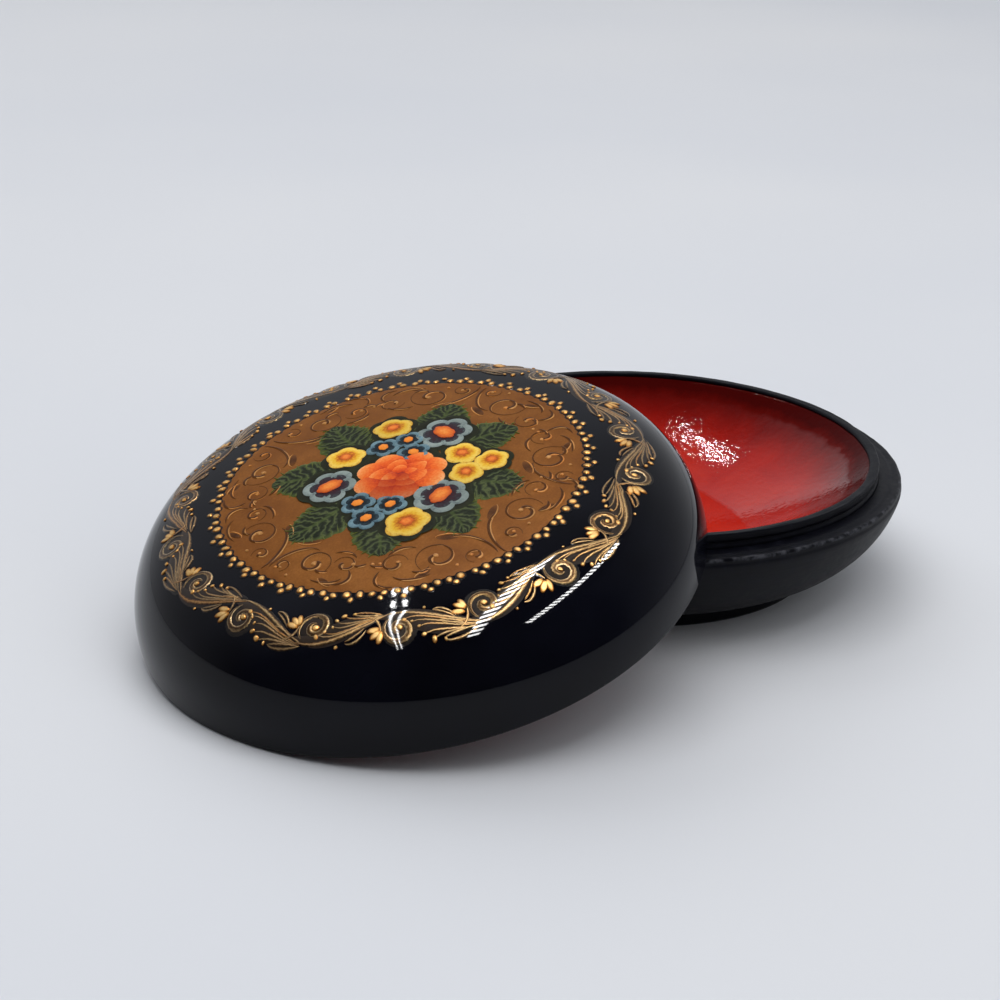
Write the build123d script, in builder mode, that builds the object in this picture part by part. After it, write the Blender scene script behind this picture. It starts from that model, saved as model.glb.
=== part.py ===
from build123d import *
from math import acos, asin, atan, cos, degrees, pi, radians, sin, sqrt
import os

# Round lacquer box with its lid off: the lid stands on its low edge and leans on the base's collar.
# Millimetres, +Z up, origin at the centre of the foot, the lid towards -X.

# Base: papier-mache bowl on a turned foot
base_radius = 50.0
ledge_height = 19.6
edge_band = 2.0
wall_arc_radius = 19.7
foot_radius = 34.3
foot_height = 3.0
foot_chamfer = 0.4
bottom_thickness = 3.7
lining_thickness = 0.4

# Collar: ring glued inside the bowl's mouth, which the lid drops over; its inside runs on into the dish
ledge_width = 4.3
collar_wall = 1.3
collar_rise = 2.7
collar_depth = 3.0
collar_round = 0.4
collar_lip = 0.8
lid_clearance = 0.3

# Lid: crown, shoulder and side are tangent arcs, the slopes are where one passes into the next
crown_slope = 8.0
shoulder_slope = 55.0
shoulder_radius = 14.3
side_radius = 18.9
skirt_height = 1.0
rim_round = 0.4
bare_bore = 4.0

# Lean: distance from the lid's axis to the line through its two contact points on the collar
contact_reach = 29.95
rest_gap = 0.1

# Painted bands of the lid, from the shoulder inwards
border_margin = 10.5
border_swing = 2.4
border_half_width = 3.0
plain_ring = 2.0
bead_radius = 0.68
bead_tip_radius = 0.55
bead_gap = 0.15
painting_turn = -47.0

# Thickness of the painted layers, and the hair of air each is drawn above what carries it
ground_thickness = 0.15
relief = 0.25
eye_relief = 0.2
coat_gap = 0.05

# Counts of what repeats
border_waves = 9
bead_pairs = 48
scroll_count = 9
leaf_count = 8
petal_count = 5
rose_petal_count = 6
wave_points = 8

# Border strokes
stem_width = 0.9
volute_radius = 1.9
volute_stroke = 0.55
volute_drop = 0.6
volute_eye = 0.55
border_leaf_length = 3.4
border_leaf_width = 0.9
border_leaf_shift = 1.7
border_dot_radius = 0.4

# Bouquet, in shares of the medallion's radius: x, y and radius of each flower
yellow_layout = [
    (-0.04, 0.47, 0.11),
    (-0.30, 0.23, 0.11),
    (0.35, 0.09, 0.094),
    (0.51, -0.01, 0.088),
    (0.37, -0.105, 0.09),
    (0.05, -0.49, 0.12),
]
grey_layout = [
    (0.25, 0.34, 0.144),
    (-0.38, -0.04, 0.138),
    (0.23, -0.29, 0.138),
]
blue_layout = [
    (-0.09, 0.27, 0.075),
    (0.05, 0.31, 0.072),
    (0.08, 0.17, 0.078),
    (-0.22, -0.25, 0.078),
    (-0.04, -0.31, 0.075),
    (-0.17, -0.40, 0.08),
]
rose_layout = (0.01, -0.04)
rose_petal_ring = 0.122
rose_petal_size = 0.094
rose_heart_ring = 0.06
rose_heart_size = 0.053
leaf_root = 0.36
leaf_length = 0.36
leaf_width = 0.265
leaf_start = 30.0
scroll_ring = 0.84
scroll_radius = 0.09
scroll_stroke = 0.019
scroll_eye = 0.025
drop_ring = 0.88
drop_length = 0.094
drop_width = 0.038

# Blossom, in shares of the flower's radius
petal_ring = 0.58
petal_size = 0.42
core_size = 0.5
eye_size = 0.34
petal_start = 90.0

# Sizes that follow from the driving dimensions
collar_radius = base_radius - ledge_width
collar_bore = collar_radius - collar_wall
collar_top = ledge_height + collar_rise
collar_seat = ledge_height - collar_depth
floor_height = foot_height + bottom_thickness
lining_floor = floor_height + lining_thickness
lining_top = collar_top - collar_lip
lid_bore = collar_radius + lid_clearance
lid_wall = base_radius - lid_bore

# Dish: one round hollow from the collar's lip to the middle of the floor
dish_depth = lining_top - floor_height
dish_radius = (collar_bore**2 + dish_depth**2) / (2 * dish_depth)
dish_centre = (0, floor_height + dish_radius)
seat_bore = sqrt(dish_radius**2 - (dish_centre[1] - collar_seat) ** 2)
seat_angle = degrees(asin(seat_bore / dish_radius))
lip_angle = degrees(asin(collar_bore / dish_radius))
lining_radius = dish_radius - lining_thickness
lining_bore = sqrt(lining_radius**2 - (dish_centre[1] - lining_top) ** 2)

# Lid profile in its own section: radius across, height above the rim plane up
crown_angle = radians(crown_slope)
shoulder_angle = radians(shoulder_slope)
shoulder_reach = shoulder_radius * (sin(shoulder_angle) - sin(crown_angle))
side_reach = side_radius * (1 - sin(shoulder_angle))
crown_radius = (base_radius - shoulder_reach - side_reach) / sin(crown_angle)
shoulder_fall = shoulder_radius * (cos(crown_angle) - cos(shoulder_angle))
side_fall = side_radius * cos(shoulder_angle)
lid_height = skirt_height + side_fall + shoulder_fall + crown_radius * (1 - cos(crown_angle))
crown_centre = (0, lid_height - crown_radius)
side_centre = (base_radius - side_radius, skirt_height)
shoulder_centre = (
    side_centre[0] + (side_radius - shoulder_radius) * sin(shoulder_angle),
    side_centre[1] + (side_radius - shoulder_radius) * cos(shoulder_angle),
)

# Painted bands
border_radius = base_radius - border_margin
bead_tip_ring = border_radius - border_half_width - plain_ring - bead_tip_radius
bead_ring = bead_tip_ring - bead_tip_radius - bead_radius + bead_gap
medallion_radius = bead_ring - bead_radius - bead_gap
ground_top = coat_gap + ground_thickness
stroke_base = ground_top + coat_gap
stroke_top = stroke_base + relief
eye_base = stroke_top + coat_gap
eye_top = eye_base + eye_relief
lid_reach = lid_height + eye_top

# Lean of the lid: its rim touches the table on one side and crosses the collar's top on the other
rim_reach = base_radius - rim_round
tilt = asin((collar_top + rest_gap) / (rim_reach + contact_reach))
half_chord = sqrt(lid_bore**2 - contact_reach**2)
chord_offset = sqrt(collar_radius**2 - half_chord**2)
lid_distance = contact_reach * cos(tilt) + chord_offset
lid_rise = rim_reach * sin(tilt) + rim_round * (1 - cos(tilt))

lid_centre = Vector(-lid_distance, 0, lid_rise)
lid_normal = Vector(-sin(tilt), 0, cos(tilt))
lid_uphill = Vector(cos(tilt), 0, sin(tilt))
lid_axis = Axis(lid_centre, lid_normal)
lid_section = Plane(lid_centre, x_dir=lid_uphill, z_dir=lid_uphill.cross(lid_normal))
painting_x = lid_uphill * cos(radians(painting_turn)) + Vector(0, 1, 0) * sin(radians(painting_turn))
painting = Plane(lid_centre, x_dir=painting_x, z_dir=lid_normal)

os.makedirs("parts", exist_ok=True)


def finish(piece, name):
    piece.label = name
    export_step(piece, f"parts/{name}.step")


def slope_point(centre, radius, angle):
    """Point of an arc of the lid's profile, at an angle counted from straight up."""
    return (centre[0] + radius * sin(angle), centre[1] + radius * cos(angle))


def crown_and_shoulder(offset):
    """Crown and shoulder arcs of the lid, moved outwards by offset."""
    CenterArc(crown_centre, crown_radius + offset, 90 - crown_slope, crown_slope)
    CenterArc(shoulder_centre, shoulder_radius + offset, 90 - shoulder_slope, shoulder_slope - crown_slope)


def dome_arcs(offset):
    """Whole profile of the lid from the apex to the top of its skirt, moved outwards by offset."""
    crown_and_shoulder(offset)
    CenterArc(side_centre, side_radius + offset, 0, 90 - shoulder_slope)


def dome_height(radius):
    """Height of the lid's outer surface above its rim plane."""
    if radius < crown_radius * sin(crown_angle):
        return crown_centre[1] + sqrt(crown_radius**2 - radius**2)
    return shoulder_centre[1] + sqrt(shoulder_radius**2 - (radius - shoulder_centre[0]) ** 2)


def layer(lower, upper):
    """Section of what lies between two offsets of the lid's surface."""
    with BuildSketch(lid_section) as section:
        with BuildLine():
            crown_and_shoulder(lower)
            crown_and_shoulder(upper)
            Line((0, lid_height + lower), (0, lid_height + upper))
            Line(
                slope_point(shoulder_centre, shoulder_radius + lower, shoulder_angle),
                slope_point(shoulder_centre, shoulder_radius + upper, shoulder_angle),
            )
        make_face()
    return section.sketch


def flowers(layout):
    """Round petals about a middle, for each flower of a layout."""
    for x, y, share in layout:
        radius = share * medallion_radius
        with Locations((x * medallion_radius, y * medallion_radius)):
            with PolarLocations(petal_ring * radius, petal_count, petal_start):
                Circle(petal_size * radius)
            Circle(core_size * radius)


def wave_ring(shift):
    """Closed wave about the border's middle, moved outwards by shift."""
    count = border_waves * wave_points
    radii = [border_radius + shift + border_swing * sin(2 * pi * k / wave_points) for k in range(count)]
    angles = [2 * pi * k / count for k in range(count)]
    Spline([(r * cos(a), r * sin(a)) for r, a in zip(radii, angles)], periodic=True)


# Foot: turned disc under the bowl
with BuildPart() as foot_disc:
    with BuildSketch():
        Circle(foot_radius)
    extrude(amount=foot_height)
    chamfer(foot_disc.edges().group_by(Axis.Z)[0], foot_chamfer)
finish(foot_disc.part, "foot_disc")

# Bowl: outer wall swells from the foot to the upright band under the ledge
with BuildPart() as base_bowl:
    with BuildSketch(Plane.XZ):
        with BuildLine():
            Line((0, foot_height), (foot_radius, foot_height))
            RadiusArc((foot_radius, foot_height), (base_radius, ledge_height - edge_band), -wall_arc_radius)
            Line((base_radius, ledge_height - edge_band), (base_radius, ledge_height))
            Line((base_radius, ledge_height), (collar_radius, ledge_height))
            Line((collar_radius, ledge_height), (collar_radius, collar_seat))
            Line((collar_radius, collar_seat), (seat_bore, collar_seat))
            CenterArc(dish_centre, dish_radius, -90, seat_angle)
            Line((0, floor_height), (0, foot_height))
        make_face()
    revolve(axis=Axis.Z)
finish(base_bowl.part, "base_bowl")

# Collar: sits in the bowl's rabbet and stands above the ledge
with BuildPart() as base_collar:
    with BuildSketch(Plane.XZ):
        with BuildLine():
            Line((collar_radius, collar_seat), (collar_radius, collar_top))
            Line((collar_radius, collar_top), (collar_bore, collar_top))
            Line((collar_bore, collar_top), (collar_bore, lining_top))
            CenterArc(dish_centre, dish_radius, seat_angle - 90, lip_angle - seat_angle)
            Line((seat_bore, collar_seat), (collar_radius, collar_seat))
        make_face()
    revolve(axis=Axis.Z)
    fillet(base_collar.edges().group_by(Axis.Z)[-1], collar_round)
finish(base_collar.part, "base_collar")

# Lining of the base: one coat over the dish, up to the collar's lip
with BuildPart() as base_lining:
    with BuildSketch(Plane.XZ):
        with BuildLine():
            CenterArc(dish_centre, dish_radius, -90, lip_angle)
            Line((collar_bore, lining_top), (lining_bore, lining_top))
            CenterArc(dish_centre, lining_radius, -90, degrees(asin(lining_bore / lining_radius)))
            Line((0, lining_floor), (0, floor_height))
        make_face()
    revolve(axis=Axis.Z)
finish(base_lining.part, "base_lining")

# Lid shell: its inside is the outside moved in by the wall, and its mouth is the bore for the collar
with BuildPart() as lid_shell:
    with BuildSketch(lid_section) as lid_face:
        with BuildLine():
            dome_arcs(0)
            Line((base_radius, skirt_height), (base_radius, 0))
            Line((base_radius, 0), (lid_bore, 0))
            Line((lid_bore, 0), (lid_bore, skirt_height))
            dome_arcs(-lid_wall)
            Line((0, lid_height - lid_wall), (0, lid_height))
        make_face()
        fillet(lid_face.vertices().group_by(Axis.Y)[0], rim_round)
    revolve(axis=lid_axis)
finish(lid_shell.part, "lid_shell")

# Lining of the lid: one coat inside, above the bare bore
lining_edge = acos((bare_bore - skirt_height) / (side_radius - lid_wall))
with BuildPart() as lid_lining:
    with BuildSketch(lid_section):
        with BuildLine():
            for offset in (-lid_wall, -lid_wall - lining_thickness):
                crown_and_shoulder(offset)
                CenterArc(
                    side_centre,
                    side_radius + offset,
                    90 - degrees(lining_edge),
                    degrees(lining_edge) - shoulder_slope,
                )
            Line((0, lid_height - lid_wall), (0, lid_height - lid_wall - lining_thickness))
            Line(
                slope_point(side_centre, side_radius - lid_wall, lining_edge),
                slope_point(side_centre, side_radius - lid_wall - lining_thickness, lining_edge),
            )
        make_face()
    revolve(axis=lid_axis)
finish(lid_lining.part, "lid_lining")

# Beads: pairs of drops of paint along the medallion's edge, with a smaller one outside each pair
bead_rows = {
    "bead_row": (bead_ring, bead_radius, 2 * bead_pairs, 0),
    "bead_tips": (bead_tip_ring, bead_tip_radius, bead_pairs, 90 / bead_pairs),
}
for name, (ring, radius, count, start) in bead_rows.items():
    with BuildPart() as beads:
        with Locations(painting.offset(dome_height(ring))):
            with PolarLocations(ring, count, start):
                Sphere(radius)
        with BuildSketch(lid_section):
            with BuildLine():
                dome_arcs(0)
                Line((base_radius, skirt_height), (0, skirt_height))
                Line((0, skirt_height), (0, lid_height))
            make_face()
        revolve(axis=lid_axis, mode=Mode.SUBTRACT)
    finish(beads.part, name)

# Outlines of the painted pieces, drawn flat
with BuildSketch() as ground_outline:
    Circle(medallion_radius)

with BuildSketch() as scroll_outline:
    with PolarLocations(scroll_ring * medallion_radius, scroll_count):
        Circle(scroll_radius * medallion_radius)
        Circle((scroll_radius - scroll_stroke) * medallion_radius, mode=Mode.SUBTRACT)
        with Locations((-scroll_radius * medallion_radius, 0)):
            Rectangle(scroll_radius * medallion_radius, scroll_radius * medallion_radius, mode=Mode.SUBTRACT)
        Circle(scroll_eye * medallion_radius)
    with PolarLocations(drop_ring * medallion_radius, scroll_count, 180 / scroll_count):
        Ellipse(drop_length / 2 * medallion_radius, drop_width / 2 * medallion_radius)

with BuildSketch() as vine_outline:
    with BuildLine():
        wave_ring(stem_width / 2)
    make_face()
    with BuildLine():
        wave_ring(-stem_width / 2)
    make_face(mode=Mode.SUBTRACT)

wave_step = 360 / border_waves
bends = [(-volute_drop, wave_step / 4, 0), (volute_drop, 3 * wave_step / 4, 180)]
with BuildSketch() as volute_outline:
    for shift, start, turn in bends:
        with PolarLocations(border_radius + shift, border_waves, start):
            Circle(volute_radius)
            Circle(volute_radius - volute_stroke, mode=Mode.SUBTRACT)
            with Locations(Rotation(0, 0, turn) * Pos(-volute_radius, -volute_radius)):
                Rectangle(2 * volute_radius, 2 * volute_radius, mode=Mode.SUBTRACT)
            Circle(volute_eye)

stem_slope = degrees(atan(border_swing * border_waves / border_radius))
flanks = [(0, 90 - stem_slope), (wave_step / 2, 90 + stem_slope)]
with BuildSketch() as border_leaf_outline:
    for start, turn in flanks:
        for shift in (-border_leaf_shift, border_leaf_shift):
            with PolarLocations(border_radius + shift, border_waves, start):
                Ellipse(border_leaf_length / 2, border_leaf_width / 2, rotation=turn)

with BuildSketch() as border_dot_outline:
    for shift in (-border_half_width, border_half_width):
        with PolarLocations(border_radius + shift, 2 * border_waves):
            Circle(border_dot_radius)

with BuildSketch() as yellow_outline:
    flowers(yellow_layout)

with BuildSketch() as grey_outline:
    flowers(grey_layout)

with BuildSketch() as blue_outline:
    flowers(blue_layout)

rose_centre = (rose_layout[0] * medallion_radius, rose_layout[1] * medallion_radius)
with BuildSketch() as rose_outline:
    with Locations(rose_centre):
        with PolarLocations(rose_petal_ring * medallion_radius, rose_petal_count):
            Circle(rose_petal_size * medallion_radius)
        Circle(rose_petal_ring * medallion_radius)

with BuildSketch() as heart_outline:
    with Locations(rose_centre):
        with PolarLocations(rose_heart_ring * medallion_radius, petal_count):
            Circle(rose_heart_size * medallion_radius)
        Circle(rose_heart_ring * medallion_radius)

leaf_tip = leaf_length * medallion_radius
leaf_side = leaf_width / 2 * medallion_radius
with BuildSketch() as leaf_blade:
    with BuildLine():
        ThreePointArc((0, 0), (leaf_tip / 2, leaf_side), (leaf_tip, 0))
        ThreePointArc((leaf_tip, 0), (leaf_tip / 2, -leaf_side), (0, 0))
    make_face()
with BuildSketch() as leaf_outline:
    with PolarLocations(leaf_root * medallion_radius, leaf_count, leaf_start):
        add(leaf_blade.sketch)

with BuildSketch() as eye_outline:
    for x, y, share in yellow_layout + grey_layout + blue_layout:
        with Locations((x * medallion_radius, y * medallion_radius)):
            Circle(eye_size * share * medallion_radius)

# Painted pieces: outline, what lies in front of it, and the layer of paint it fills
blossoms = [yellow_outline, blue_outline, grey_outline]
bouquet = blossoms + [rose_outline, leaf_outline]
on_shell = (coat_gap, coat_gap + relief)
on_ground = (stroke_base, stroke_top)
on_petals = (eye_base, eye_top)
painted = {
    "medallion_ground": (ground_outline, [], (coat_gap, ground_top)),
    "medallion_scrolls": (scroll_outline, bouquet, on_ground),
    "border_vine": (vine_outline, [], on_shell),
    "border_volutes": (volute_outline, [vine_outline], on_shell),
    "border_leaves": (border_leaf_outline, [vine_outline, volute_outline], on_shell),
    "border_dots": (border_dot_outline, [vine_outline, volute_outline, border_leaf_outline], on_shell),
    "yellow_blossoms": (yellow_outline, [], on_ground),
    "blue_blossoms": (blue_outline, blossoms[:1], on_ground),
    "grey_blossoms": (grey_outline, blossoms[:2], on_ground),
    "rose_petals": (rose_outline, blossoms, on_ground),
    "rose_heart": (heart_outline, [], on_petals),
    "bouquet_leaves": (leaf_outline, bouquet[:4], on_ground),
    "blossom_eyes": (eye_outline, [heart_outline], on_petals),
}
for name, (outline, in_front, (lower, upper)) in painted.items():
    with BuildPart() as piece:
        with BuildSketch(painting):
            add(outline.sketch)
            for other in in_front:
                add(other.sketch, mode=Mode.SUBTRACT)
        extrude(amount=lid_reach)
        revolve(layer(lower, upper), lid_axis, mode=Mode.INTERSECT)
    finish(piece.part, name)
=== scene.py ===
from math import acos, asin, cos, degrees, pi, radians, sin, sqrt

import bpy
import numpy as np
from mathutils import Matrix, Vector


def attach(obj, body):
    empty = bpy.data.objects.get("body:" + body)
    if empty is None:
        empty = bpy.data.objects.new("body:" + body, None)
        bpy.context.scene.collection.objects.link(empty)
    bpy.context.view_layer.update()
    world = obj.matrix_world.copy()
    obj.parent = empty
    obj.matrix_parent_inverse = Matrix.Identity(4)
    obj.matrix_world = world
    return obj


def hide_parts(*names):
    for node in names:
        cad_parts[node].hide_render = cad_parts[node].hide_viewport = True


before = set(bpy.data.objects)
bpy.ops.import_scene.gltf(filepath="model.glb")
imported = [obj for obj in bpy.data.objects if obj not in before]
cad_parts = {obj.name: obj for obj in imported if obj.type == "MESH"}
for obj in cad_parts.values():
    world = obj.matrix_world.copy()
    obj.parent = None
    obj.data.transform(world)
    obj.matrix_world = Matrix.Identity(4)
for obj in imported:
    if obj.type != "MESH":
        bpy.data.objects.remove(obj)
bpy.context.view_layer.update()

# Round lacquer box: the base stands open and the painted lid leans on its collar. Sizes are millimetres
MM = 0.001
tiny = 1e-9
sharp_angle = radians(50)
hand = np.random.default_rng(11)

# Base
base_radius = 50.0
ledge_height = 19.6
edge_band = 2.0
wall_arc_radius = 19.7
foot_radius = 34.3
foot_height = 3.0
foot_chamfer = 0.4
bottom_thickness = 3.7
lining_thickness = 0.4
edge_round = 0.7

# Collar
ledge_width = 4.3
collar_wall = 1.3
collar_rise = 2.7
collar_depth = 3.0
collar_round = 0.4
collar_lip = 0.8
groove_height = 0.9
groove_depth = 0.35
groove_width = 0.3
lip_depth = 1.2
lip_overlap = 0.1
lid_clearance = 0.3

# Lid
crown_slope = 8.0
shoulder_slope = 55.0
shoulder_radius = 14.3
side_radius = 18.9
skirt_height = 1.0
rim_round = 0.4
bare_bore = 4.0
contact_reach = 29.95
rest_gap = 0.1

# Hand unevenness: how deep each surface is pressed in
wall_uneven = 0.05
edge_uneven = 0.3
collar_uneven = 0.2
puddle_depth = 0.1
puddle_full = 20.0
lid_puddle_depth = 0.12

# Grey line along the base's edge, rubbed wear and painted highlight: how far in and down from it the line
# starts and is full
edge_line_in = (0.8, 0.45)
edge_line_down = (0.9, 0.5)

# Red lacquer: share of the radius where the full coat ends and painted shade darkens it towards the rim, and
# the circle where the second coat ends
thin_from = 0.9
second_coat_middle = (-21.0, 6.0, 0.0)
second_coat_edge = 40.0
second_coat_fade = 0.4

# Painted bands
border_margin = 10.5
border_half_width = 3.0
plain_ring = 2.9
bead_radius = 0.68
bead_tip_radius = 0.55
bead_gap = 0.15
painting_turn = -47.0
border_waves = 9
bead_pairs = 48
blade_ribs = 9

# Paint: heights above the lacquer, depth of a stroke in what carries it, size of a dab's underside
ground_lift = 0.1
gold_lift = 0.04
drop_lift = 0.05
hair_lift = 0.19
wash_lift = 0.27
petal_lift = 0.2
yellow_lift = 0.28
blue_lift = 0.24
eye_lift = 0.42
stroke_height = 0.12
set_in = 0.05
under_share = 0.96

# Sizes that follow
collar_radius = base_radius - ledge_width
collar_bore = collar_radius - collar_wall
collar_top = ledge_height + collar_rise
collar_seat = ledge_height - collar_depth
floor_height = foot_height + bottom_thickness
lining_top = collar_top - collar_lip
dish_depth = lining_top - floor_height
dish_radius = (collar_bore**2 + dish_depth**2) / (2 * dish_depth)
dish_centre = (0, floor_height + dish_radius)
seat_bore = sqrt(dish_radius**2 - (dish_centre[1] - collar_seat) ** 2)
lining_radius = dish_radius - lining_thickness
lining_bore = sqrt(lining_radius**2 - (dish_centre[1] - lining_top) ** 2)
seat_angle = degrees(asin(seat_bore / dish_radius))
lip_angle = degrees(asin(collar_bore / dish_radius))
lining_angle = degrees(asin(lining_bore / lining_radius))
lid_bore = collar_radius + lid_clearance
lid_wall = base_radius - lid_bore
border_radius = base_radius - border_margin
bead_tip_ring = border_radius - border_half_width - plain_ring - bead_tip_radius
bead_ring = bead_tip_ring - bead_tip_radius - bead_radius + bead_gap
medallion_radius = bead_ring - bead_radius - bead_gap

crown_angle = radians(crown_slope)
shoulder_angle = radians(shoulder_slope)
crown_edge = (
    base_radius
    - shoulder_radius * (sin(shoulder_angle) - sin(crown_angle))
    - side_radius * (1 - sin(shoulder_angle))
)
crown_radius = crown_edge / sin(crown_angle)
side_centre = (base_radius - side_radius, skirt_height)
shoulder_centre = (
    side_centre[0] + (side_radius - shoulder_radius) * sin(shoulder_angle),
    side_centre[1] + (side_radius - shoulder_radius) * cos(shoulder_angle),
)
crown_centre = (0, shoulder_centre[1] + (shoulder_radius - crown_radius) * cos(crown_angle))

rim_reach = base_radius - rim_round
tilt = asin((collar_top + rest_gap) / (rim_reach + contact_reach))
half_chord = sqrt(lid_bore**2 - contact_reach**2)
lid_distance = contact_reach * cos(tilt) + sqrt(collar_radius**2 - half_chord**2)
lid_rise = rim_reach * sin(tilt) + rim_round * (1 - cos(tilt))
lid_centre = np.array([-lid_distance, 0, lid_rise])
lid_normal = np.array([-sin(tilt), 0, cos(tilt)])
lid_uphill = np.array([cos(tilt), 0, sin(tilt)])
lid_across = np.array([0.0, 1.0, 0.0])
painting_x = lid_uphill * cos(radians(painting_turn)) + lid_across * sin(radians(painting_turn))
painting_y = np.cross(lid_normal, painting_x)


# Materials

def linear(code):
    """sRGB hex colour as linear RGBA."""
    channels = [int(code[k:k + 2], 16) / 255 for k in (1, 3, 5)]
    return [c / 12.92 if c <= 0.04045 else ((c + 0.055) / 1.055) ** 2.4 for c in channels] + [1.0]


def per_mm(size):
    """Texture scale whose features are about that many millimetres."""
    return 1 / (size * MM)


def fill(tree, node, inputs):
    """Fills a node's inputs: a socket, or another node's first output, is linked, and a value is set."""
    for name, value in inputs.items():
        if isinstance(value, bpy.types.Node):
            value = value.outputs[0]
        if isinstance(value, bpy.types.NodeSocket):
            tree.links.new(value, node.inputs[name])
        else:
            node.inputs[name].default_value = value


def add(tree, kind, inputs=None, stops=(), **settings):
    """Adds one node: settings are its properties, inputs fill its sockets, stops fill a colour ramp."""
    node = tree.nodes.new("ShaderNode" + kind)
    for name, value in settings.items():
        setattr(node, name, value)
    fill(tree, node, inputs or {})
    while stops and len(node.color_ramp.elements) < len(stops):
        node.color_ramp.elements.new(1.0)
    for k, (position, code) in enumerate(stops):
        node.color_ramp.elements[k].position = position
        node.color_ramp.elements[k].color = linear(code)
    return node


def begin(name):
    """New material with its node tree, its one shader and the place on the piece, which its textures
    read."""
    made = bpy.data.materials.new(name)
    made.use_nodes = True
    tree = made.node_tree
    return made, tree, tree.nodes["Principled BSDF"], add(tree, "TexCoord").outputs["Object"]


def polished_black_lacquer():
    """Black oil lacquer on papier-mache, rubbed down and polished: a deep mirror with a slow wave and fine
    dust."""
    made, tree, shader, place = begin("polished_black_lacquer")
    cloud = add(tree, "TexNoise", {"Vector": place, "Scale": per_mm(16), "Detail": 2})
    dust = add(tree, "TexNoise", {"Vector": place, "Scale": per_mm(0.5), "Detail": 1})
    tint = add(tree, "ValToRGB", {"Fac": cloud}, [(0.3, "#06060b"), (0.7, "#0c0d15")])
    gloss = add(tree, "MapRange", {"Value": cloud, "To Min": 0.015, "To Max": 0.05})
    wave = add(tree, "Bump", {"Height": cloud, "Strength": 0.2, "Distance": 0.12 * MM})
    fine = add(tree, "Bump", {"Height": dust, "Strength": 0.12, "Distance": 0.01 * MM, "Normal": wave})
    fill(tree, shader, {
        "Base Color": tint, "Roughness": gloss, "Normal": fine, "IOR": 1.5, "Specular IOR Level": 0.17,
    })
    return made


def brushed_black_lacquer():
    """Black lacquer laid on by brush and left unrubbed: satin, with ridges that run round the rim, dull
    dust and a grey, chipped line along the ledge's edge, where the lid has rubbed it; the line also stands
    as the edge's painted highlight."""
    made, tree, shader, place = begin("brushed_black_lacquer")
    squash = add(tree, "Mapping", {"Vector": place, "Scale": (0.12, 0.12, 1.0)})
    ridges = add(tree, "TexNoise", {"Vector": squash, "Scale": per_mm(0.5), "Detail": 3})
    dull = add(tree, "TexNoise", {"Vector": place, "Scale": per_mm(1.6), "Detail": 4, "Roughness": 0.65})
    tint = add(tree, "ValToRGB", {"Fac": dull}, [(0.3, "#06060b"), (0.6, "#0c0d14"), (0.8, "#1a1b24")])
    across = add(tree, "VectorMath", {0: place, 1: (1, 1, 0)}, operation="MULTIPLY")
    reach = add(tree, "VectorMath", {0: across}, operation="LENGTH").outputs["Value"]
    height = add(tree, "SeparateXYZ", {0: place}).outputs["Z"]
    rubbed_and_highlit = add(tree, "MapRange", {"Value": dull, "From Min": 0.42, "From Max": 0.62, "To Max": 0.5})
    for measure, edge, (starts, full) in ((reach, base_radius, edge_line_in), (height, ledge_height, edge_line_down)):
        near = add(
            tree, "MapRange",
            {"Value": measure, "From Min": (edge - starts) * MM, "From Max": (edge - full) * MM},
        )
        rubbed_and_highlit = add(tree, "Math", {0: rubbed_and_highlit, 1: near}, operation="MULTIPLY")
    # Painted highlight: the grey line along the ledge's edge is rubbed wear and also the edge's highlight
    shown = add(tree, "Mix", {0: rubbed_and_highlit, 6: tint, 7: linear("#5a5b61")}, data_type="RGBA")
    gloss = add(tree, "MapRange", {"Value": dull, "To Min": 0.36, "To Max": 0.64})
    bump = add(tree, "Bump", {"Height": ridges, "Strength": 0.4, "Distance": 0.06 * MM})
    fill(tree, shader, {
        "Base Color": shown.outputs[2], "Roughness": gloss, "Normal": bump, "IOR": 1.5,
        "Specular IOR Level": 0.15,
    })
    return made


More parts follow.
